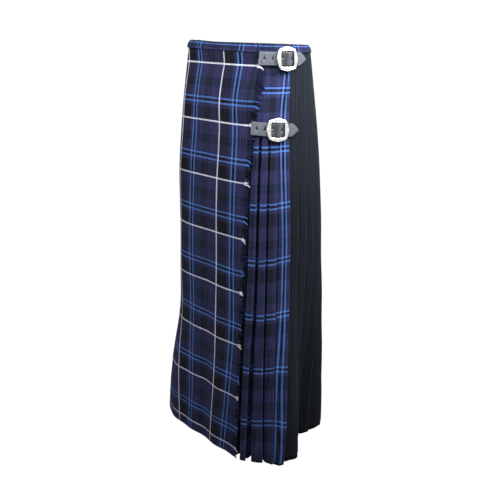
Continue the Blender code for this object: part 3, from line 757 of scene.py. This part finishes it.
def make_strap(fastening, leather):
    """A strap as a closed section carried along the outline: |x/a|^9 + |z/b|^4 = 1, its half width drawn in
    to a point at the tip, with round holes cut through."""
    length = fastening.strap_end - fastening.strap_start
    tip = 0.022
    t = np.linspace(0, 1, 150)
    along = length * t
    arc = fastening.strap_start + along
    taper = np.clip((along - length + tip) / tip, 0, 1) ** 1.35
    half = STRAP_WIDTH / 2 * (1 - taper) + 0.0008 * taper
    thin = STRAP_THICKNESS / 2 * (1 - 0.35 * eased((along - length + 0.006) / 0.006))
    height = STRAP_LIFT + STRAP_THICKNESS / 2 + hump(arc - fastening.arc)
    middle = fastening.drop + fastening.fall * (arc - fastening.arc)
    angle = np.linspace(0, 2 * np.pi, 40, endpoint=False)
    cos, sin = np.cos(angle), np.sin(angle)
    across = np.sign(cos) * np.abs(cos) ** (2 / 9)
    thick = np.sign(sin) * np.abs(sin) ** (2 / 4)
    ends = np.array([0.0, 0.6, 0.9])[:, None]
    rows_drop = middle[:, None] + half[:, None] * across[None]
    rows_height = height[:, None] + thin[:, None] * thick[None]
    rows_arc = np.broadcast_to(arc[:, None], rows_drop.shape)
    caps = []
    for i in (0, -1):
        drop_cap = middle[i] + ends * half[i] * across[None]
        caps.append((drop_cap, np.full_like(drop_cap, arc[i]), height[i] + ends * thin[i] * thick[None]))
    rows = (rows_drop, rows_arc, rows_height)
    drop, arcs, high = (np.concatenate([a, row, b[::-1]]) for a, row, b in zip(caps[0], rows, caps[1]))
    points = FORM.place(drop, arcs, high)
    uv = cloth_map(arcs - fastening.arc, drop - fastening.drop)
    rows, columns = drop.shape
    name = f"strap_{fastening.name}_leather"
    made = mesh_piece(name, points.reshape(-1, 3), [quads_of(rows, columns, wrap=True)], uv.reshape(-1, 2))
    cutters = []
    for hole in fastening.holes:
        here = FORM.place(fastening.drop + fastening.fall * (hole - fastening.arc), hole, 0.0)
        ahead = FORM.place(fastening.drop, hole, 0.001) - FORM.place(fastening.drop, hole, 0.0)
        ahead /= np.linalg.norm(ahead)
        path = here + ahead * np.linspace(-0.004, 0.014, 3)[:, None]
        cutters.append(path)
    cutter = tubes_piece("hole_punch", np.array(cutters), 0.0021, 20)
    closed_up(cutter)
    closed_up(made)
    cut = made.modifiers.new("holes", "BOOLEAN")
    cut.object, cut.operation, cut.solver = cutter, "DIFFERENCE", "EXACT"
    settled(made)
    bpy.data.objects.remove(cutter)
    return wear(made, leather, [f"strap_{fastening.name}"])


def settled(piece):
    """Applies a piece's modifiers to its mesh."""
    graph = bpy.context.evaluated_depsgraph_get()
    graph.update()
    mesh = bpy.data.meshes.new_from_object(piece.evaluated_get(graph))
    piece.modifiers.clear()
    piece.data = mesh


OCTAGON_LOW = 0.28
BAR_BEND = 0.0016


def octagon(angle):
    """The buckle's outer edge, as a distance from its centre: 1 / (m + n * OCTAGON_LOW), with m the rounded
    maximum and n the minimum of |x/a| and |y/b|, so that each side has a low point in its middle."""
    x, y = np.abs(np.cos(angle)) / BUCKLE_HALF_WIDTH, np.abs(np.sin(angle)) / BUCKLE_HALF_HEIGHT
    return 1 / ((x**12 + y**12) ** (1 / 12) + np.minimum(x, y) * OCTAGON_LOW)


def window(angle):
    """The buckle's inner edge: |x/a|^9 + |y/b|^9 = 1."""
    x, y = np.abs(np.cos(angle)) / WINDOW_HALF_WIDTH, np.abs(np.sin(angle)) / WINDOW_HALF_HEIGHT
    return (x**9 + y**9) ** (-1 / 9)


def make_buckle(fastening, silver, place):
    """A cast frame: a low dome carried round between the window and the octagon, with a raised rim along
    both of its edges and small strokes cut into the middle of each side."""
    centre, axes = place
    count = 288
    angle = np.linspace(0, 2 * np.pi, count, endpoint=False)
    inner, outer = window(angle), octagon(angle)
    profile = np.array(
        [(0.00, 0.00), (-0.01, 0.35), (0.00, 0.75), (0.04, 0.90), (0.09, 0.92), (0.13, 0.84), (0.17, 0.78),
         (0.22, 0.86), (0.33, 0.96), (0.45, 1.00), (0.58, 1.00), (0.70, 0.95), (0.79, 0.86), (0.84, 0.76),
         (0.88, 0.80), (0.93, 0.84), (0.97, 0.76), (1.00, 0.50), (1.01, 0.20), (1.00, 0.00)]
    )  # fmt: skip
    across, high = profile[:, :1], profile[:, 1:]
    radius = inner[None] + (outer - inner)[None] * across
    side = np.mod(angle + np.pi / 4, np.pi / 2) - np.pi / 4
    strokes = (np.abs(side) < 0.22) * (np.cos(side * 2 * np.pi / 0.088) > 0.25)
    cut = 0.0005 * strokes[None] * np.exp(-(((across - 0.5) / 0.14) ** 2))
    level = FRAME_BACK + (FRAME_FRONT - FRAME_BACK) * high - cut
    local = np.stack([radius * np.cos(angle), radius * np.sin(angle), level + 0 * radius], axis=-1)
    points = centre + local @ axes
    index = quads_of(len(profile), count, wrap=True)
    here, after = np.arange(count), np.roll(np.arange(count), -1)
    last = (len(profile) - 1) * count
    closing = np.stack([here, after, last + after, last + here], axis=1)
    index = index[:, ::-1]
    frame = mesh_piece(f"buckle_{fastening.name}_frame", points.reshape(-1, 3), [index, closing[:, ::-1]])
    wear(frame, silver, [f"buckle_{fastening.name}"])
    end, level = WINDOW_HALF_HEIGHT + 0.0012, FRAME_BACK + 0.0012
    bar_line = [(end, level), (end - BAR_BEND, BAR_LEVEL), (BAR_BEND - end, BAR_LEVEL), (-end, level)]
    bar_line = np.array([(0, v, w) for v, w in bar_line])
    bar = tubes_piece(f"bar_{fastening.name}", (centre + bar_line @ axes)[None], BAR_RADIUS, 16)
    wear(bar, silver, [])
    turn = BAR_RADIUS + SEAM + PRONG_RADIUS
    rest = FRAME_FRONT + SEAM + PRONG_RADIUS
    loop = np.radians(np.linspace(-230, 90, 24))
    line = [(turn * np.cos(a), 0, BAR_LEVEL + turn * np.sin(a)) for a in loop]
    line += [(-0.0040, 0, 0.0047), (-0.0088, 0, 0.0047), (-0.0112, 0, 0.0058)]
    line += [(-0.0150, 0, rest - 0.0002), (-0.0180, 0, rest), (-0.0210, 0, rest), (-0.0232, 0, rest - 0.0003)]
    line = np.array(line)
    radii = np.full(len(line), PRONG_RADIUS)
    radii[-4:] = PRONG_RADIUS * np.array([1.0, 0.95, 0.85, 0.4])
    prong = tubes_piece(f"prong_{fastening.name}_wire", (centre + line @ axes)[None], radii[None], 12)
    wear(prong, silver, [f"prong_{fastening.name}"])


def make_chape(fastening, leather, place):
    """The short leather loop that holds the buckle: along the pleats, then once round the bar."""
    centre, axes = place
    around = BAR_RADIUS + SEAM + CHAPE_THICKNESS / 2
    ahead = np.array([0.038, 0.032, 0.026, 0.020, 0.014, 0.010, 0.007])
    flat = (FORM.place(fastening.drop, fastening.arc + ahead, CHAPE_LEVEL) - centre) @ axes.T
    turn = np.radians(np.linspace(-60, -300, 16))
    u = np.concatenate([flat[:, 0], around * np.cos(turn)])
    w = np.concatenate([flat[:, 2], BAR_LEVEL + around * np.sin(turn)])
    v = np.linspace(-0.5, 0.5, 5)[:, None] * CHAPE_WIDTH
    local = np.stack(np.broadcast_arrays(u[None], v, w[None]), axis=-1)
    points = centre + local @ axes
    uv = cloth_map(0.1 * u[None] - 0.005, v)
    made = sheet_piece(f"chape_{fastening.name}_leather", points, uv, thickness=CHAPE_THICKNESS)
    made.modifiers["wall"].offset = 0
    wear(made, leather, [f"chape_{fastening.name}"])


# Finishes.


def linear(hex_colour):
    """An sRGB hex colour as linear red, green, blue and 1."""
    value = np.array([int(hex_colour[i : i + 2], 16) for i in (1, 3, 5)]) / 255
    value = np.where(value <= 0.04045, value / 12.92, ((value + 0.055) / 1.055) ** 2.4)
    return (*value.tolist(), 1.0)


def node(tree, kind, inputs=(), **settings):
    """Adds a node with its settings, and sets or links its inputs by name or number."""
    made = tree.nodes.new(kind)
    for name, value in settings.items():
        setattr(made, name, value)
    for socket, value in dict(inputs).items():
        if isinstance(value, bpy.types.NodeSocket):
            tree.links.new(value, made.inputs[socket])
        else:
            made.inputs[socket].default_value = value
    return made


def finish_named(name, **shader):
    """A material with only its Principled shader, whose constant values sit on its own sockets."""
    material = bpy.data.materials.new(name)
    material.use_nodes = True
    tree = material.node_tree
    bsdf = tree.nodes["Principled BSDF"]
    for socket, value in shader.items():
        bsdf.inputs[socket.replace("_", " ").title().replace("Ior", "IOR")].default_value = value
    return material, tree, bsdf


def computed(tree, operation, *values):
    """The result of a Math node on its values in turn."""
    return node(tree, "ShaderNodeMath", dict(enumerate(values)), operation=operation).outputs[0]


def mapped(tree, value, start, end, low, high):
    """A value from start to end as one from low to high, held at both ends."""
    values = dict(enumerate((value, start, end, low, high)))
    return node(tree, "ShaderNodeMapRange", values, clamp=True).outputs[0]


def blended(tree, share, first, second, blend_type="MIX"):
    """Two colours mixed, with a share of the second."""
    values = {0: share, 6: first, 7: second}
    return node(tree, "ShaderNodeMix", values, data_type="RGBA", blend_type=blend_type).outputs[2]


def cloth_place(tree):
    """A place on the cloth as one vector, then its parts across and down."""
    uv = node(tree, "ShaderNodeUVMap", uv_map="cloth").outputs[0]
    parts = node(tree, "ShaderNodeSeparateXYZ", {0: uv})
    return uv, parts.outputs[0], parts.outputs[1]


def surfaced(tree, bsdf, colour, height, strength, distance=0.0002):
    """Links a colour, and a bump of a height, to the shader."""
    bump = node(tree, "ShaderNodeBump", {"Strength": strength, "Distance": distance, "Height": height})
    tree.links.new(colour, bsdf.inputs["Base Color"])
    tree.links.new(bump.outputs[0], bsdf.inputs["Normal"])


# Yarn colours.
YARN = {
    "white": "#dadae4",
    "tuft": "#ececf4",
    "black": "#13141b",
    "navy": "#1a1f33",
    "purple": "#2b2c4c",
    "blue": "#5580cc",
    "green": "#1b2a2a",
    "ground": "#1c2026",
    "figure": "#22262f",
}
# Stripes of the check as shares of one repeat: to the wearer's left round the kilt, and upwards, from the
# middle of the white line.
STRIPES = [
    (0.000, "white"),
    (0.0155, "black"),
    (0.235, "purple"),
    (0.307, "blue"),
    (0.336, "black"),
    (0.389, "blue"),
    (0.418, "navy"),
    (0.435, "purple"),
    (0.600, "navy"),
    (0.670, "green"),
    (0.710, "navy"),
    (0.760, "purple"),
    (0.9845, "white"),
]
# The pleats' cloth has the same stripes without the white line.
PLEAT_STRIPES = [(0.0, "navy"), *STRIPES[1:-1], (0.9845, "navy")]
# The yarns of the fringe lie looser, so that its narrow stripes spread over whole tufts.
FRINGE_STRIPES = [
    (0.000, "tuft"),
    (0.030, "purple"),
    (0.110, "black"),
    (0.235, "purple"),
    (0.305, "blue"),
    (0.345, "black"),
    (0.390, "blue"),
    (0.425, "purple"),
    (0.600, "navy"),
    (0.760, "purple"),
    (0.970, "tuft"),
]
# The band is cut so that one blue line runs along it, counted from its lower edge up and over the top.
BAND_ALONG = [(0.0, "purple"), (0.0060, "navy"), (0.0138, "blue"), (0.0158, "navy"), (0.0180, "black")]
BAND_ACROSS = [
    (0.0, "purple"),
    (0.20, "navy"),
    (0.40, "blue"),
    (0.42, "navy"),
    (0.48, "blue"),
    (0.50, "purple"),
    (0.80, "navy"),
]


def chart(tree, position, stripes, span=1.0):
    """The yarn colour at a place in the repeat."""
    made = node(tree, "ShaderNodeValToRGB", {0: position})
    ramp = made.color_ramp
    ramp.interpolation = "CONSTANT"
    for i, (start, yarn) in enumerate(stripes):
        stop = ramp.elements[i] if i < 2 else ramp.elements.new(start / span)
        stop.position = start / span
        stop.color = linear(YARN[yarn])
    return made.outputs[0]


def repeat(tree, value, period, phase, sign=1.0):
    """The share of one period, from 0 to 1, that a length has reached."""
    scaled = computed(tree, "MULTIPLY_ADD", value, sign / period, -sign * phase / period)
    return computed(tree, "FRACT", scaled)


# A 2/2 twill crosses every fourth thread. Real threads lie 0.45 mm apart.
THREAD = 0.00045
CLOTH_SHINE = 0.06
# The black cloth's tonal stripes and the leaves between them.
TONE_PITCH, LEAF_PITCH = 0.0062, 0.0110


def slubbed(tree, colour, where, scale=260.0, least=0.86, most=1.14, run=1.0):
    """The colour times a fine noise, since some yarns are a little lighter or darker than others. run below 1
    draws the noise out down the cloth into streaks."""
    factors = {0: where, 1: (1.0, run, 1.0)}
    drawn = node(tree, "ShaderNodeVectorMath", factors, operation="MULTIPLY").outputs[0]
    noise = node(tree, "ShaderNodeTexNoise", {"Vector": drawn, "Scale": scale, "Detail": 3.0})
    return blended(tree, 1.0, colour, mapped(tree, noise.outputs["Fac"], 0.3, 0.7, least, most), "MULTIPLY")


def woven(
    name, warp, weft, warp_phase, weft_phase, warp_period=SETT, weft_period=SETT_DOWN, weft_span=1.0, painted_light_gain=1.0
):
    """Worsted twill: warp and weft yarns of the chart's colours cross half and half, with the twill's fine
    slanting rib and a dry surface. painted_light_gain brightens all its yarns alike, as painted light."""
    material, tree, bsdf = finish_named(name, roughness=0.9, specular_ior_level=CLOTH_SHINE)
    uv, across, down = cloth_place(tree)
    warp_colour = chart(tree, repeat(tree, across, warp_period, warp_phase), warp)
    if weft_period:
        weft_colour = chart(tree, repeat(tree, down, weft_period, weft_phase, sign=-1.0), weft)
    else:
        weft_colour = chart(tree, computed(tree, "MULTIPLY", down, 1 / weft_span), weft, weft_span)
    slant = computed(tree, "ADD", across, down)
    wave = computed(tree, "SINE", computed(tree, "MULTIPLY", slant, 2 * np.pi / (4 * THREAD)))
    mixed = blended(tree, computed(tree, "MULTIPLY_ADD", wave, 0.22, 0.5), warp_colour, weft_colour)
    # The white yarn is the thicker one, so it shows over the others.
    pale = blended(tree, 1.0, warp_colour, weft_colour, "LIGHTEN")
    tone = node(tree, "ShaderNodeRGBToBW", {0: pale}).outputs[0]
    mixed = blended(tree, mapped(tree, tone, 0.3, 0.8, 0.0, 0.5), mixed, pale)
    toned = slubbed(tree, mixed, uv)
    # The streaks' range is scaled by the gain, which paints light into the pleats' copy of the cloth.
    toned = slubbed(tree, toned, uv, 420.0, 0.70 * painted_light_gain, 1.30 * painted_light_gain, run=0.03)
    surfaced(tree, bsdf, toned, wave, 0.35)
    return material


def fringe_yarn():
    """Unravelled weft: each yarn keeps the colour of its own place down the check's chart."""
    material, tree, bsdf = finish_named("worsted_yarn_fringe", roughness=0.9, specular_ior_level=CLOTH_SHINE)
    uv, _, down = cloth_place(tree)
    colour = chart(tree, repeat(tree, down, SETT_DOWN, APRON_WHITE_DROP, sign=-1.0), FRINGE_STRIPES)
    tree.links.new(slubbed(tree, colour, uv, 900.0, 0.7, 1.25), bsdf.inputs["Base Color"])
    return material


def figured_black():
    """Black worsted with a woven-in figure: fine tonal stripes, and between them columns of small leaves, in
    the same yarn laid the other way, so that the figure is only a little lighter than its ground."""
    name = "worsted_black_self_figured"
    material, tree, bsdf = finish_named(name, roughness=0.85, specular_ior_level=CLOTH_SHINE)
    uv, across, down = cloth_place(tree)

    def wave(value, period, operation):
        return computed(tree, operation, computed(tree, "MULTIPLY", value, 2 * np.pi / period))

    met = computed(tree, "MULTIPLY", wave(across, TONE_PITCH * 2, "COSINE"), wave(down, LEAF_PITCH, "COSINE"))
    leaves = mapped(tree, met, 0.35, 0.65, 0.0, 1.0)
    stripe = computed(tree, "MULTIPLY_ADD", wave(across, TONE_PITCH, "SINE"), 0.32, 0.32)
    figure = computed(tree, "MAXIMUM", stripe, leaves)
    mixed = blended(tree, figure, linear(YARN["ground"]), linear(YARN["figure"]))
    streaked = slubbed(tree, mixed, uv, 300.0, 0.52, 1.42, run=0.02)
    surfaced(tree, bsdf, slubbed(tree, streaked, uv, 220.0), figure, 0.3)
    return material


# How much blue-grey a strap shows, by place along 40 mm of it with the buckle in the middle. Its dark and
# lighter stops across the window are painted shade from the frame and painted reflections on the strap's arch
# over the bar.
GREY_AND_PAINTED_LIGHT = [
    (0.10, 1.0), (0.18, 0.25), (0.40, 0.10), (0.52, 0.45),
    (0.66, 0.60), (0.78, 0.30), (0.84, 0.35), (0.92, 1.0),
]  # fmt: skip


def bridle_leather():
    """Black bridle leather, rolled and waxed: a blue-grey tone over a fine pore grain. Across the buckle's
    window the colour is painted in dark and lighter bands, as painted shade from the frame and painted
    reflections where the strap arches over the bar, and the leather is glossier where it is darker."""
    material, tree, bsdf = finish_named("bridle_leather_black_waxed", specular_ior_level=0.5)
    place = node(tree, "ShaderNodeTexCoord").outputs["Object"]
    along = cloth_place(tree)[1]
    # This ramp paints the frame's shade and the arch's reflections into the leather's colour.
    grey_and_light_ramp = node(tree, "ShaderNodeValToRGB", {0: computed(tree, "MULTIPLY_ADD", along, 25.0, 0.5)})
    for i, (start, grey_share) in enumerate(GREY_AND_PAINTED_LIGHT):
        stop = grey_and_light_ramp.color_ramp.elements[i] if i < 2 else grey_and_light_ramp.color_ramp.elements.new(start)
        stop.position, stop.color = start, (grey_share, grey_share, grey_share, 1)
    grey_and_painted_light = grey_and_light_ramp.outputs[0]
    pores = node(tree, "ShaderNodeTexVoronoi", {"Vector": place, "Scale": 900.0}, feature="F1")
    patches = node(tree, "ShaderNodeTexNoise", {"Vector": place, "Scale": 120.0, "Detail": 4.0})
    waxed = blended(tree, patches.outputs["Fac"], linear("#42464d"), linear("#60666f"))
    tone = blended(tree, grey_and_painted_light, linear("#1a1d22"), waxed)
    tree.links.new(mapped(tree, grey_and_painted_light, 0.0, 1.0, 0.26, 0.55), bsdf.inputs["Roughness"])
    surfaced(tree, bsdf, tone, pores.outputs["Distance"], 0.3, 0.0003)
    return material


def cast_silver():
    """Cast and plated white metal: bright where it stands out, with painted shade in its grooves, where its
    colour is drawn grey.
    """
    material, tree, bsdf = finish_named("cast_white_metal_groove_shade", metallic=1.0)
    place = node(tree, "ShaderNodeTexCoord").outputs["Object"]
    swirl = node(tree, "ShaderNodeTexNoise", {"Vector": place, "Scale": 600.0, "Detail": 2.0})
    proud = node(tree, "ShaderNodeNewGeometry").outputs["Pointiness"]
    # Painted shade: the colour goes grey where the surface is hollow and stays bright where it stands out.
    tone = blended(tree, mapped(tree, proud, 0.46, 0.50, 0.0, 1.0), linear("#8d8d8f"), linear("#ecebe8"))
    tree.links.new(tone, bsdf.inputs["Base Color"])
    tree.links.new(mapped(tree, swirl.outputs["Fac"], 0.3, 0.7, 0.20, 0.32), bsdf.inputs["Roughness"])
    return material


# The room.

CAMERA_TURN, CAMERA_AWAY, CAMERA_HEIGHT, CAMERA_DOWN = 0.80624, 1.7714, 0.0583, 0.31518
KILT_AXIS_Y = -0.011
FLOOR_Z = -1.15

Light = namedtuple("Light", "name place aim size watts colour")
LIGHTS = [
    Light("side", (0.60, 0.35, 0.40), (0.16, 0.02, -0.15), 0.40, 13.5, "#ffffff"),
    Light("hip", (0.60, -0.30, 0.40), (0.16, -0.02, -0.15), 0.40, 6.0, "#f6f7ff"),
    Light("front", (0.10, -0.85, 0.55), (0.05, -0.10, -0.15), 0.60, 5.0, "#ffffff"),
    Light("front_near", (0.12, -0.62, 0.42), (0.05, -0.10, -0.15), 0.45, 4.6, "#ffffff"),
    Light("front_low", (-0.30, -0.90, -0.62), (-0.05, -0.15, -0.80), 0.50, 1.7, "#f6f7ff"),
    Light("rear", (-0.70, 1.30, 0.60), (0.00, 0.10, -0.35), 0.80, 12, "#ffffff"),
]


def light(name, place, aim, size, watts, colour):
    """A soft square light at a place, turned to face another."""
    data = bpy.data.lights.new(name, "AREA")
    data.size, data.energy, data.color = size, watts, linear(colour)[:3]
    made = bpy.data.objects.new(name, data)
    bpy.context.scene.collection.objects.link(made)
    made.location = place
    x, y, z = np.subtract(aim, place)
    made.rotation_euler = (np.arctan2(np.hypot(x, y), -z), 0, np.arctan2(y, x) - np.pi / 2)
    return made


def make_room():
    scene = bpy.context.scene
    data = bpy.data.cameras.new("camera")
    data.sensor_width, data.lens = 36.0, 51.84
    data.clip_start, data.clip_end = 0.05, 60
    camera = bpy.data.objects.new("camera", data)
    scene.collection.objects.link(camera)
    camera.location = (
        CAMERA_AWAY * np.sin(CAMERA_TURN),
        KILT_AXIS_Y - CAMERA_AWAY * np.cos(CAMERA_TURN),
        CAMERA_HEIGHT,
    )
    camera.rotation_euler = (np.pi / 2 - CAMERA_DOWN, 0, CAMERA_TURN)
    scene.camera = camera

    world = bpy.data.worlds.new("room")
    world.use_nodes = True
    background = world.node_tree.nodes["Background"]
    background.inputs["Color"].default_value = (1, 1, 1, 1)
    background.inputs["Strength"].default_value = 0.02
    scene.world = world
    scene.view_settings.view_transform = "Standard"
    make_stage()
    for each in LIGHTS:
        light(*each)


def make_stage():
    """A white floor that curves up into a white dome all round: x and y out to r, and z up from the floor.

    The paper glows evenly, and is kept out of the light that reaches the cloth.
    """
    sides = 64
    turn = np.linspace(0, 2 * np.pi, sides, endpoint=False)
    reach = np.array([0.0, 2.0, 4.0, 6.0, 7.4, 8.2, 8.6, 8.4, 7.2, 5.0, 2.5, 0.01])
    rise = np.array([0.0, 0.0, 0.0, 0.3, 1.2, 2.6, 4.6, 6.6, 8.6, 10.0, 10.7, 10.9])
    ring = np.stack([np.cos(turn), np.sin(turn)], axis=-1)
    high = np.broadcast_to((FLOOR_Z + rise)[:, None, None], (len(rise), sides, 1))
    points = np.concatenate([reach[:, None, None] * ring[None], high], axis=-1)
    room = mesh_piece("studio_paper", points.reshape(-1, 3), [quads_of(len(rise), sides, wrap=True)])
    paper, _, bsdf = finish_named("studio_paper_white_lit", roughness=1.0, emission_strength=1.0)
    bsdf.inputs["Base Color"].default_value = linear("#000000")
    bsdf.inputs["Emission Color"].default_value = linear("#ffffff")
    room.data.materials.append(paper)
    room.visible_diffuse = room.visible_shadow = room.visible_transmission = False


def main():
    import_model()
    make_room()
    check = woven("worsted_twill_check", STRIPES, STRIPES, 0.0, APRON_WHITE_DROP)
    phase = PLEAT_BLUE_DROP + BLUE_SHARE * SETT_DOWN
    # A brighter copy of the same check for the pleats: painted light.
    pleat_check = woven("worsted_twill_check_pleats_painted_lighter", STRIPES, PLEAT_STRIPES, 0.0, phase, painted_light_gain=PLEAT_PAINTED_LIGHT)
    along = {"warp_period": BAND_SETT, "weft_period": None, "weft_span": 0.05}
    band_check = woven("worsted_twill_check_band", BAND_ACROSS, BAND_ALONG, BAND_PHASE, 0.0, **along)
    black, leather, silver = figured_black(), bridle_leather(), cast_silver()

    make_pleats(pleat_check, black)
    apron = make_over_apron(check)
    make_under_apron(check)
    fringe = make_fringe(fringe_yarn())
    make_bands(band_check)
    for fastening in FASTENINGS:
        place = seat(fastening)
        make_strap(fastening, leather)
        make_buckle(fastening, silver, place)
        make_chape(fastening, leather, place)


main()
